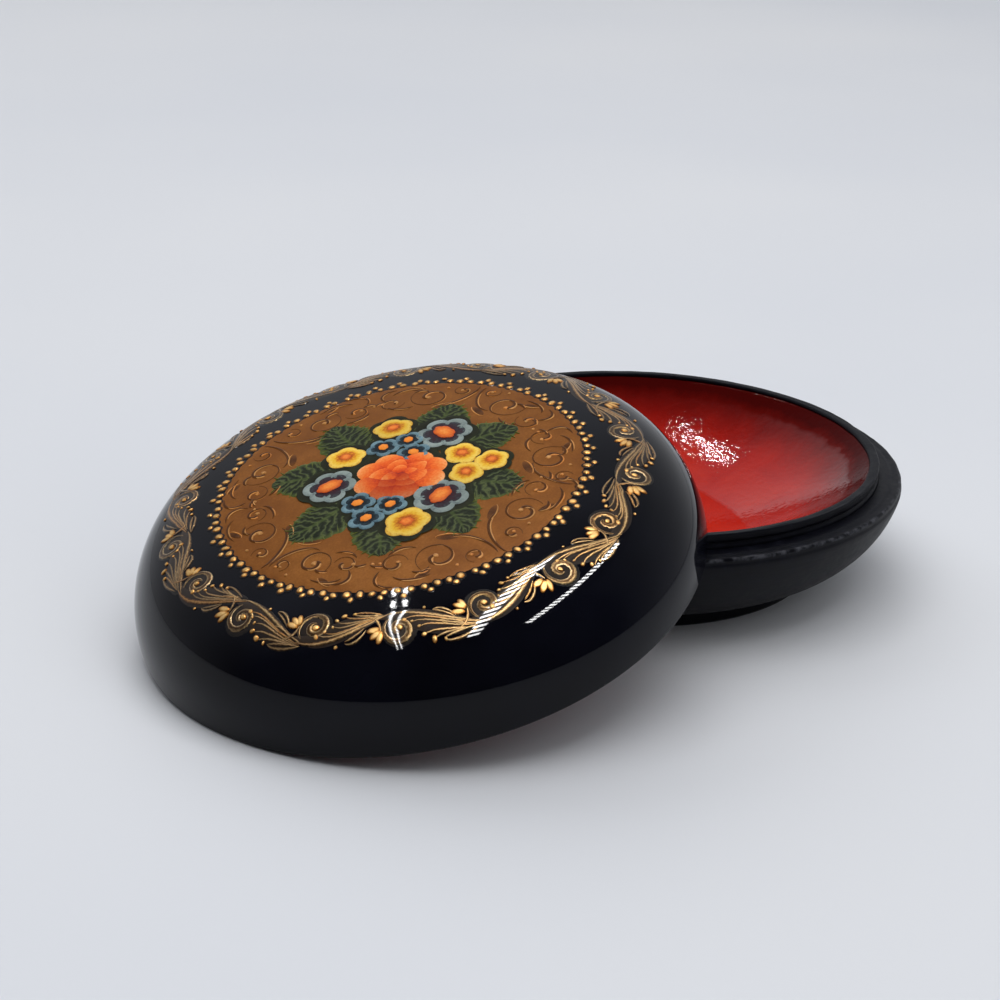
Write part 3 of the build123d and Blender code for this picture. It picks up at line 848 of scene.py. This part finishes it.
# Scrolls of one cluster, in millimetres: x outwards, y round the medallion
cluster_count = 9
cluster_reach = 0.83 * medallion_radius
cluster_bearing = circle(cluster_count) + hand.uniform(-0.08, 0.08, cluster_count)
cluster_sense = np.where(np.arange(cluster_count) % 2, -1.0, 1.0)
scroll_curls = [
    ((0.0, 0.0), 0.7, 3.6, 150, -1.25, 1.2),
    ((-1.6, 6.6), 0.5, 2.3, 240, 1.1, 1.0),
    ((2.0, -5.6), 0.4, 1.7, 20, -1.0, 0.85),
]
scroll_sweeps = [
    ((-3.2, -1.2), (-4.4, -4.6), (0.6, -8.4), (3.4, -8.4), 0.75),
    ((-0.8, 8.4), (0.8, 10.6), (3.0, 9.8), (3.6, 7.4), 0.7),
    ((3.6, 1.6), (4.0, 4.2), (3.4, 6.4), (1.6, 7.2), 0.65),
    ((-3.6, 2.4), (-4.9, 4.0), (-4.6, 6.2), (-3.6, 7.0), 0.65),
    ((1.4, 3.9), (2.4, 3.2), (2.5, 1.8), (1.5, 1.2), 0.8),
    ((-2.6, 9.9), (-1.6, 9.4), (-1.1, 8.6), (-1.4, 7.9), 0.7),
]
scroll_pods = [(-3.9, -3.2, 1.9, 0.62, 1.9), (3.0, 3.6, 1.5, 0.5, 1.2)]
scroll_dots = [(-0.3, 0.2, 0.5), (-1.7, 6.4, 0.4), (2.0, -5.5, 0.34), (-3.0, 10.2, 0.3), (3.4, -2.6, 0.32)]


def over_clusters(paths, shake=0.15):
    """The same paths in every cluster, each one scaled and shaken a little and every other one
    mirrored."""
    size = 1 + hand.uniform(-0.12, 0.12, (cluster_count, 1, 1, 1))
    moved = paths[None] * size + hand.normal(0, shake, (cluster_count, len(paths), 1, 2))
    across = moved[..., 1] * cluster_sense[:, None, None]
    laid = rotated(cluster_reach + moved[..., 0], across, cluster_bearing[:, None, None])
    return laid.reshape(-1, *paths.shape[1:])


curl_rows, sweep_rows = 36, 16
curl_paths = over_clusters(curls(scroll_curls, curl_rows))
sweep_paths = over_clusters(bends([row[:4] for row in scroll_sweeps], sweep_rows), 0.3)
pod_places = over_clusters(np.array(scroll_pods)[:, None, :2], 0.3)[:, 0]
dot_places = over_clusters(np.array(scroll_dots)[:, None, :2])[:, 0]
pod_spans = np.tile(np.array(scroll_pods)[:, 2:4], (cluster_count, 1))
pod_senses = np.repeat(cluster_sense, len(scroll_pods))
pod_turns = np.repeat(cluster_bearing, len(scroll_pods)) + column(scroll_pods, 4, cluster_count) * pod_senses
dot_sizes = column(scroll_dots, 2, cluster_count)[:, None]

paint(
    "scroll_strokes",
    [
        strokes(curl_paths, comma(curl_paths, column(scroll_curls, 5, cluster_count)), ground_lift),
        strokes(sweep_paths, swelling(sweep_paths, column(scroll_sweeps, 4, cluster_count)), ground_lift),
        dabs(pod_places, pod_spans, pod_turns, 0.06, ground_lift, around=16),
    ],
    umber, "umber_paint", "medallion_scrolls",
)

light_side = np.array([0.26, -0.3])
pod_edge = polar(1, np.radians(np.linspace(190, 350, sweep_rows))) * (1.12, 1.3) * pod_spans[:, None]
pod_lights = pod_places[:, None] + rotated(pod_edge[..., 0], pod_edge[..., 1], pod_turns[:, None])
curl_lights = curl_paths[:, 2:26] + light_side
sweep_lights = sweep_paths[:, 2:13] + light_side
paint(
    "scroll_lights",
    [
        strokes(curl_lights, comma(curl_lights, 0.75), ground_lift),
        strokes(sweep_lights, swelling(sweep_lights, 0.4), ground_lift),
        strokes(pod_lights, swelling(pod_lights, 0.34), ground_lift),
        dabs(dot_places, dot_sizes * (1.2, 0.85), hand.uniform(0, pi, len(dot_places)), 0.16, ground_lift),
    ],
    scroll_light, "gold_paint",
)

# Beads along the medallion's edge, each on a wider dark brown dab: its outline and painted shadow round it
bead_stretch, bead_rise, bead_shade_spread = 1.16, 0.34, 1.38
for name, node, ring, radius, count, start in (
    ("bead_drops", "bead_row", bead_ring, bead_radius, 2 * bead_pairs, 0.0),
    ("bead_tip_drops", "bead_tips", bead_tip_ring, bead_tip_radius, bead_pairs, radians(90 / bead_pairs)),
):
    bearing = start + circle(count) + hand.normal(0, 0.14, count) / ring
    places = polar(ring + hand.normal(0, 0.09, count), bearing)
    size = radius * (0.94 + hand.uniform(-0.16, 0.12, (count, 2))) * (bead_stretch, 1)
    turns = bearing + hand.normal(0, 0.5, count)
    tones = hand.random(count)
    bead = dabs(places, size, turns, bead_rise * radius, drop_lift, around=10, steps=3, tones=tones)
    paint(name, [bead], bead_gold, "gold_paint", node)
    size = size * bead_shade_spread
    shade = dabs(places, size, turns, 0.05, 0.6 * ground_lift, around=10, steps=2, tones=tones)
    paint(name + "_shade", [shade], brown_shade, "umber_paint")

# Border: running scroll of gold strokes. One bend, in millimetres: x along the band, y outwards
bend_count = 2 * border_waves
far = 2 * pi * border_radius / bend_count
bend_bearing = 2 * pi * (np.arange(bend_count) + 0.5) / bend_count
bend_side = np.where(np.arange(bend_count) % 2, -1.0, 1.0)
stem_strokes = [
    ((-2.4, 2.3), (2.4, 3.3), (5.8, 0.2), (far - 1.6, -2.5), 1.0),
    ((0.9, 1.0), (3.6, 1.9), (6.2, -0.6), (far - 2.0, -2.45), 0.62),
    ((2.0, 0.4), (4.2, 1.0), (6.6, -1.0), (far - 2.3, -2.45), 0.58),
    ((3.0, -0.6), (4.8, 0.2), (6.9, -1.5), (far - 2.6, -2.45), 0.58),
    ((3.5, -1.8), (5.0, -1.0), (7.2, -1.9), (far - 2.9, -2.45), 0.58),
    ((4.7, -2.8), (6.0, -2.1), (8.0, -2.3), (far - 3.2, -2.5), 0.58),
    ((-5.2, 2.3), (-3.6, 2.2), (-2.9, 0.8), (-2.75, -0.6), 0.62),
]
leaf_strokes = [
    ((6.4, -3.2), (7.6, -3.9), (9.8, -3.4), (far - 2.2, -2.8), 0.58),
    ((6.4, -3.1), (7.8, -2.7), (9.6, -2.6), (far - 2.4, -2.7), 0.58),
    ((5.6, 2.1), (6.6, 2.6), (8.0, 1.7), (8.9, -0.1), 0.62),
    ((5.7, 1.9), (6.5, 1.5), (7.6, 0.9), (8.7, -0.3), 0.55),
    ((-7.2, 0.4), (-6.2, 1.5), (-4.6, 1.9), (-3.4, 2.0), 0.58),
    ((-7.2, 0.3), (-6.4, 0.2), (-4.9, 0.7), (-3.5, 1.8), 0.58),
]
shade_strokes = [
    ((-3.0, 1.6), (2.4, 3.0), (5.8, -0.4), (far - 1.8, -2.6), 3.0),
    ((0.4, 0.4), (3.6, 0.4), (7.0, -2.2), (far - 2.0, -2.8), 3.2),
]
bud_lobes = [
    ((-3.2, -0.2), (-5.1, -0.6), 1.15),
    ((-3.0, -0.5), (-4.6, -1.7), 1.15),
    ((-2.8, -0.7), (-3.4, -2.5), 1.1),
]
volute_middle, volute_width, volute_rows = (0.1, -0.45), 1.25, 44
border_drops = np.array([
    (0.15, -0.4, 0.78, 0.62), (0.9, 1.0, 0.66, 0.5), (3.5, -1.9, 0.56, 0.42), (4.8, -2.9, 0.72, 0.52),
    (6.4, -3.2, 0.5, 0.36), (4.2, 2.6, 0.4, 0.32), (2.0, 0.4, 0.44, 0.3), (3.0, -0.6, 0.42, 0.3),
])


def along_border(paths, shake=0.1):
    """The same paths in every bend of the border, turned over in every other bend and shaken a little."""
    moved = paths[None] + hand.normal(0, shake, (bend_count, len(paths), 1, 2))
    moved = moved * (1 + hand.uniform(-0.05, 0.05, (bend_count, 1, 1, 1)))
    angle = bend_bearing[:, None, None] + moved[..., 0] / border_radius
    laid = polar(border_radius + moved[..., 1] * bend_side[:, None, None], angle)
    return laid.reshape(-1, *paths.shape[1:])


def border_strokes(table, rows, lift):
    """Strokes of one table in every bend of the border."""
    paths = along_border(bends([row[:4] for row in table], rows))
    return strokes(paths, swelling(paths, column(table, 4, bend_count)), lift)


volute_paths = along_border(curls([(volute_middle, 2.75, 0.55, 128, 1.42)], volute_rows), 0.06)
drop_places = along_border(border_drops[:, None, :2])[:, 0]
drop_spans = np.tile(border_drops[:, 2:], (bend_count, 1)) * hand.uniform(0.68, 0.9, (len(drop_places), 1))
volute_places = along_border(np.array([[volute_middle]]))[:, 0]
bud_ends = along_border(np.array([lobe[:2] for lobe in bud_lobes]))
bud_reach = bud_ends[:, 1] - bud_ends[:, 0]
bud_spans = np.stack([0.2 + np.linalg.norm(bud_reach, axis=1) / 2, column(bud_lobes, 2, bend_count) / 2], 1)
bud_turns = np.arctan2(bud_reach[:, 1], bud_reach[:, 0])

paint(
    "border_shade",
    [border_strokes(shade_strokes, 20, 0.0), dabs(volute_places, (3.0, 2.9), 0, 0.03, around=24)],
    bronze_wash, "umber_paint",
)
paint("vine_strokes", [border_strokes(stem_strokes, 26, gold_lift)], gold, "gold_paint", "border_vine")
paint(
    "volute_strokes", [strokes(volute_paths, swelling(volute_paths, volute_width), gold_lift)], ribbon_gold,
    "gold_paint", "border_volutes",
)
paint("leaf_strokes", [border_strokes(leaf_strokes, 14, drop_lift)], gold, "gold_paint", "border_leaves")
drop_turns = hand.uniform(0, pi, len(drop_places))
paint(
    "border_drops",
    [
        dabs(drop_places, drop_spans, drop_turns, 0.2, drop_lift, around=10, steps=3),
        dabs(bud_ends.mean(1), bud_spans, bud_turns, 0.16, gold_lift),
    ],
    bead_gold, "gold_paint", "border_dots",
)

# Bouquet, in shares of the medallion's radius: x, y and radius of each flower
yellow_layout = medallion_radius * np.array([
    (-0.04, 0.47, 0.112), (-0.30, 0.23, 0.112), (0.35, 0.09, 0.104), (0.51, -0.01, 0.098),
    (0.37, -0.105, 0.1), (0.05, -0.49, 0.125),
])
grey_layout = medallion_radius * np.array([(0.25, 0.34, 0.15), (-0.38, -0.04, 0.145), (0.23, -0.29, 0.15)])
blue_layout = medallion_radius * np.array([
    (-0.09, 0.27, 0.09), (0.05, 0.31, 0.084), (0.08, 0.17, 0.09), (-0.22, -0.25, 0.092),
    (-0.04, -0.31, 0.088), (-0.17, -0.40, 0.094),
])
rose_layout = medallion_radius * np.array([(0.01, -0.04, 0.24)])

# Leaves: bearing in degrees of each
leaf_bearing = np.radians([27, 66, 124, 171, 217, 263, 300, 338])
leaf_count = len(leaf_bearing)
leaf_sense = np.where(np.arange(leaf_count) % 2, -1, 1)
leaf_root, leaf_length, leaf_width = (share * medallion_radius for share in (0.3, 0.43, 0.35))
blade_rows = 44
leaf_corners = np.array([(0, 0), (0.35 * leaf_length, 0.9), (0.7 * leaf_length, 0.7), (leaf_length, -0.3)])
leaf_mid = bends(leaf_corners + hand.normal(0, 0.35, (leaf_count, 4, 2)), blade_rows)
leaf_out, leaf_aside = leaf_root + leaf_mid[..., 0], leaf_mid[..., 1] * leaf_sense[:, None]
leaf_mid = rotated(leaf_out, leaf_aside, leaf_bearing[:, None])
blade_t = np.linspace(0, 1, blade_rows)[None]
blade_width = leaf_width * np.sin(pi * np.clip(blade_t, 0.03, 0.985) ** 0.85) ** 0.62
blade_width = blade_width * (0.92 + 0.1 * np.abs(np.sin(7 * pi * blade_t)))
blade_width = blade_width * (1 + hand.uniform(-0.08, 0.08, (leaf_count, 1)))
blades = strokes(leaf_mid, blade_width, ground_lift, height=0.13, around=28, comb=0.05)
paint("leaf_blades", [blades], green, "green_paint", "bouquet_leaves")

# Yellow-green hairs along the leaves' edges: each control point's share of the way out, and way along
hair_bend = ((0.5, 0.0), (0.72, 0.5), (0.88, 0.7), (0.97, 1.0))
hair_rows, hair_width = 9, 0.26
hair_at = np.linspace(5, blade_rows - 5, 10).astype(int)
run, square = (direction[:, hair_at] for direction in along_and_across(leaf_mid))
hair_sides = []
for side in (-1, 1):
    reach = side * blade_width[:, hair_at, None] / 2 * square
    hair_sides.append(np.stack([leaf_mid[:, hair_at] + out * reach + on * run for out, on in hair_bend], -2))
hair_corners = np.concatenate(hair_sides).reshape(-1, 4, 2)
hair_paths = bends(hair_corners + hand.normal(0, 0.12, hair_corners.shape), hair_rows)
hairs = strokes(hair_paths, swelling(hair_paths, hair_width), hair_lift, height=0.08, around=6)
paint("leaf_hairs", [hairs], hair_green, "green_paint")

# Dark wash that sets the flowers off
wash_spread = 1.3
wash_layout = np.concatenate([yellow_layout, grey_layout, blue_layout, rose_layout])
wash_turns = hand.uniform(0, pi, len(wash_layout))
wash_size = wash_layout[:, [2, 2]] * wash_spread
wash = dabs(
    wash_layout[:, :2], wash_size, wash_turns, height=0.04, lift=wash_lift, lobes=5, notch=0.15, around=30
)
paint("flower_wash", [wash], dark_wash, "green_paint")

# Rose: rings of overlapping petals, the outer ones broad and the inner ones small
rose = []
for count, ring, span, lift, height, start in (
    (8, (5.3, 4.1), (3.1, 2.8), 0.24, 0.24, 15),
    (6, (3.2, 2.4), (2.8, 2.2), 0.32, 0.22, 42),
    (4, (1.5, 1.1), (2.0, 1.5), 0.40, 0.20, 10),
):
    bearing = radians(start) + circle(count) + hand.normal(0, 0.1, count)
    out = polar(1, bearing) * ring
    light = 0.5 + 0.5 * np.cos(bearing - radians(75))
    lifts = lift + 0.012 * np.arange(count)
    turns = np.arctan2(out[:, 1], out[:, 0])
    rose.append(dabs(rose_layout[:, :2] + out, span, turns, height, lifts, around=22, steps=6, tones=light))
paint("rose_outer_petals", rose[:2], rose_paint, "red_paint", "rose_petals")
paint("rose_inner_petals", rose[2:], rose_paint, "orange_paint", "rose_heart")

yellow_size = yellow_layout[:, 2:] * (1.06, 0.98)
yellow_turns = hand.uniform(0, 2 * pi, len(yellow_layout))
yellow_petals = dabs(
    yellow_layout[:, :2], yellow_size, yellow_turns, height=0.24, lift=yellow_lift, lobes=5, notch=0.16,
    around=60, steps=10,
)
paint("yellow_flowers", [yellow_petals], yellow_paint, "yellow_paint", "yellow_blossoms")


def remarked(surface, low, high):
    """The same surface with its first mark moved into the part of the colour run from low to high."""
    points, poles, stroke = surface
    stroke[..., 0] = low + (high - low) * stroke[..., 0]
    return points, poles, stroke


def looped_flowers(layout, petals, thick, lift):
    """Flowers of a dark heart and a ring of petals, each petal drawn as one pale loop round the heart."""
    middles, radius = layout[:, :2], layout[:, 2, None, None]
    count = len(layout)
    turns = hand.uniform(0, 2 * pi, count)
    heart = dabs(
        middles, layout[:, [2, 2]] * 0.94, turns, height=0.06, lift=lift + 0.08, lobes=petals, notch=0.2,
        around=60, steps=5, tones=0.5,
    )
    bearing = turns[:, None] + circle(petals) + hand.normal(0, 0.07, (count, petals))
    sweep = np.radians(np.linspace(-118, 118, 20))
    out = radius * (0.6 + 0.3 * np.cos(sweep)) * hand.uniform(0.92, 1.06, (count, petals, 1))
    side = radius * 0.36 * np.sin(sweep)
    loops = (rotated(out, side, bearing[..., None]) + middles[:, None, None]).reshape(-1, len(sweep), 2)
    widths = swelling(loops, np.repeat(layout[:, 2] * thick, petals))
    pale = strokes(loops, widths, lift + 0.07, height=0.14)
    return [remarked(heart, 0.0, 0.5), remarked(pale, 0.6, 1.0)]


grey_flowers = looped_flowers(grey_layout, 6, 0.32, petal_lift)
paint("grey_flowers", grey_flowers, grey_paint, "grey_paint", "grey_blossoms")
blue_flowers = looped_flowers(blue_layout, 5, 0.36, blue_lift)
paint("blue_flowers", blue_flowers, blue_paint, "blue_paint", "blue_blossoms")

eyes = []
for layout, share, stretch, tone, red_share in (
    (yellow_layout, 0.36, 1.15, 0.1, 1.0),
    (grey_layout, 0.36, 1.5, 0.0, 0.85),
    (blue_layout, 0.32, 1.15, 0.9, 0.2),
):
    size = layout[:, 2:] * share * (stretch, 1)
    turns = hand.uniform(0, pi, len(layout))
    eye = dabs(
        layout[:, :2], size, turns, height=0.14, lift=eye_lift, lobes=6, notch=0.12, around=24, steps=5,
        tones=tone,
    )
    eyes.append(remarked(eye, 0.0, red_share))
paint("flower_eyes", eyes, eye_paint, "orange_paint", "blossom_eyes")


# Floor
floor_size = 3.0
floor_material, floor_tree, floor_shader, floor_place = begin("pale_table_paint")
floor_cloud = add(floor_tree, "TexNoise", {"Vector": floor_place, "Scale": per_mm(220), "Detail": 2})
floor_tint = add(floor_tree, "ValToRGB", {"Fac": floor_cloud}, [(0.3, "#d3d6dc"), (0.7, "#d9dbdf")])
fill(floor_tree, floor_shader, {"Base Color": floor_tint, "Roughness": 0.5, "Specular IOR Level": 0.08})
floor_mesh = bpy.data.meshes.new("table")
floor_corners = [(x * floor_size, y * floor_size, 0) for x, y in ((-1, -1), (1, -1), (1, 1), (-1, 1))]
floor_mesh.from_pydata(floor_corners, [], [(0, 1, 2, 3)])
floor_mesh.materials.append(floor_material)
floor = bpy.data.objects.new("table", floor_mesh)
bpy.context.scene.collection.objects.link(floor)

# Light: a room that is bright low down and on one side, three soft lamps and four strips of diodes
world = bpy.data.worlds.new("studio")
bpy.context.scene.world = world
world.use_nodes = True
sky = world.node_tree
towards = add(sky, "TexCoord").outputs["Generated"]
turned_sky = add(sky, "Mapping", {"Vector": towards, "Rotation": (0, 0, radians(-45))})
parts = add(sky, "SeparateXYZ", {0: turned_sky})
rising = add(
    sky, "ValToRGB", {"Fac": parts.outputs["Z"]},
    [(0.0, "#dcdee2"), (0.6, "#d0d3d8"), (0.78, "#b4b7bc"), (0.87, "#6e7076"), (1.0, "#36383c")],
)
sideways = add(sky, "MapRange", {"Value": parts.outputs["X"], "From Min": -1})
back = add(
    sky, "ValToRGB", {"Fac": sideways},
    [(0.0, "#2a2a2e"), (0.35, "#3a3b40"), (0.6, "#c8c8cc"), (1.0, "#ffffff")],
)
glow = add(sky, "Mix", {0: 1.0, 6: rising, 7: back}, data_type="RGBA", blend_type="MULTIPLY")
fill(sky, sky.nodes["Background"], {"Color": glow.outputs[2], "Strength": 0.85})


def stand(name, data, place, across, up, back):
    """Puts a lamp or the camera at a place, its own three axes laid along those directions."""
    made = bpy.data.objects.new(name, data)
    bpy.context.scene.collection.objects.link(made)
    made.matrix_world = Matrix.Translation(place) @ Matrix((across, up, back)).transposed().to_4x4()
    return made


def lamp(name, place, aim, width, length, power, along):
    """Area lamp at a place in metres, facing its aim, its length turned along a direction."""
    data = bpy.data.lights.new(name, "AREA")
    data.shape = "RECTANGLE"
    data.size, data.size_y = width, length
    data.energy = power
    facing = (Vector(place) - Vector(aim)).normalized()
    across = Vector(along).cross(facing).normalized()
    made = stand(name, data, place, across, facing.cross(across), facing)
    made.visible_camera = False
    return made


for name, place, width, length, power, along in (
    ("soft_top", (-0.1, 0.0, 1.2), 1.3, 1.3, 11.0, (1, 0, 0)),
    ("soft_back", (0.8, 2.0, 1.6), 2.6, 2.0, 29.0, (-0.3, 0, 1)),
    ("soft_fill", (0.1, -1.1, 1.0), 1.4, 1.0, 6.5, (1, 0, 0)),
):
    lamp(name, place, (0, 0, 0), width, length, power, along).visible_glossy = False

lit_by_strips = {body: bpy.data.collections.new("pieces_under_strips_" + body) for body in pieces_of}
for body, pieces in pieces_of.items():
    for piece in pieces:
        lit_by_strips[body].objects.link(piece)

# Strips of small diodes in rows, seen only as mirror images in the lacquer; each reaches one body's pieces
dark_share = 0.24
aims = {"base": (0, 0, 0.01), "lid": (-0.06, 0, 0)}
for name, body, place, width, length, power, along, rows, dots, dark_row in (
    ("strip_left", "lid", (-0.155, 0.106, 0.43), 0.018, 0.55, 3.0, (0.75, 0.66, 0), 2, 34, 0.34),
    ("strip_middle", "lid", (-0.083, -0.025, 0.43), 0.052, 0.48, 5.0, (0.67, 0.74, 0), 1, 13, dark_share),
    ("strip_right", "lid", (0.02, -0.227, 0.43), 0.055, 0.37, 5.5, (0.85, 0.53, 0), 1, 24, dark_share),
    ("strip_back", "base", (0.15, 0.23, 0.43), 0.008, 0.16, 0.9, (0.54, 0.84, 0), 2, 14, dark_share),
):
    strip = lamp(name, place, aims[body], width, length, power, along)
    strip.visible_diffuse = False
    strip.light_linking.receiver_collection = lit_by_strips[body]
    strip.data.use_nodes = True
    tree = strip.data.node_tree
    spread = add(tree, "SeparateXYZ", {0: add(tree, "NewGeometry").outputs["Parametric"]})
    lit = []
    for socket, count, dark in (("X", rows, dark_row), ("Y", dots, dark_share)):
        steps = add(tree, "Math", {0: spread.outputs[socket], 1: count}, operation="MULTIPLY")
        there_and_back = add(tree, "Math", {0: steps, 1: 0.5}, operation="PINGPONG")
        lit.append(add(tree, "Math", {0: there_and_back, 1: dark}, operation="GREATER_THAN"))
    both = add(tree, "Math", {0: lit[0], 1: lit[1]}, operation="MULTIPLY")
    fill(tree, tree.nodes["Emission"], {"Strength": both})

# Camera
camera_place = Vector((-321.69, -256.51, 171.26)) * MM
camera_forward = Vector((0.69016, 0.62480, -0.36470)).normalized()
camera_roll = radians(1.483)
level = camera_forward.cross(Vector((0, 0, 1))).normalized()
upright = level.cross(camera_forward)
camera_right = cos(camera_roll) * level + sin(camera_roll) * upright
camera_up = cos(camera_roll) * upright - sin(camera_roll) * level
camera_data = bpy.data.cameras.new("camera")
camera_data.sensor_width = 36
camera_data.lens = 82.82
bpy.context.scene.camera = stand(
    "camera", camera_data, camera_place, camera_right, camera_up, -camera_forward
)
bpy.context.scene.view_settings.view_transform = "Standard"
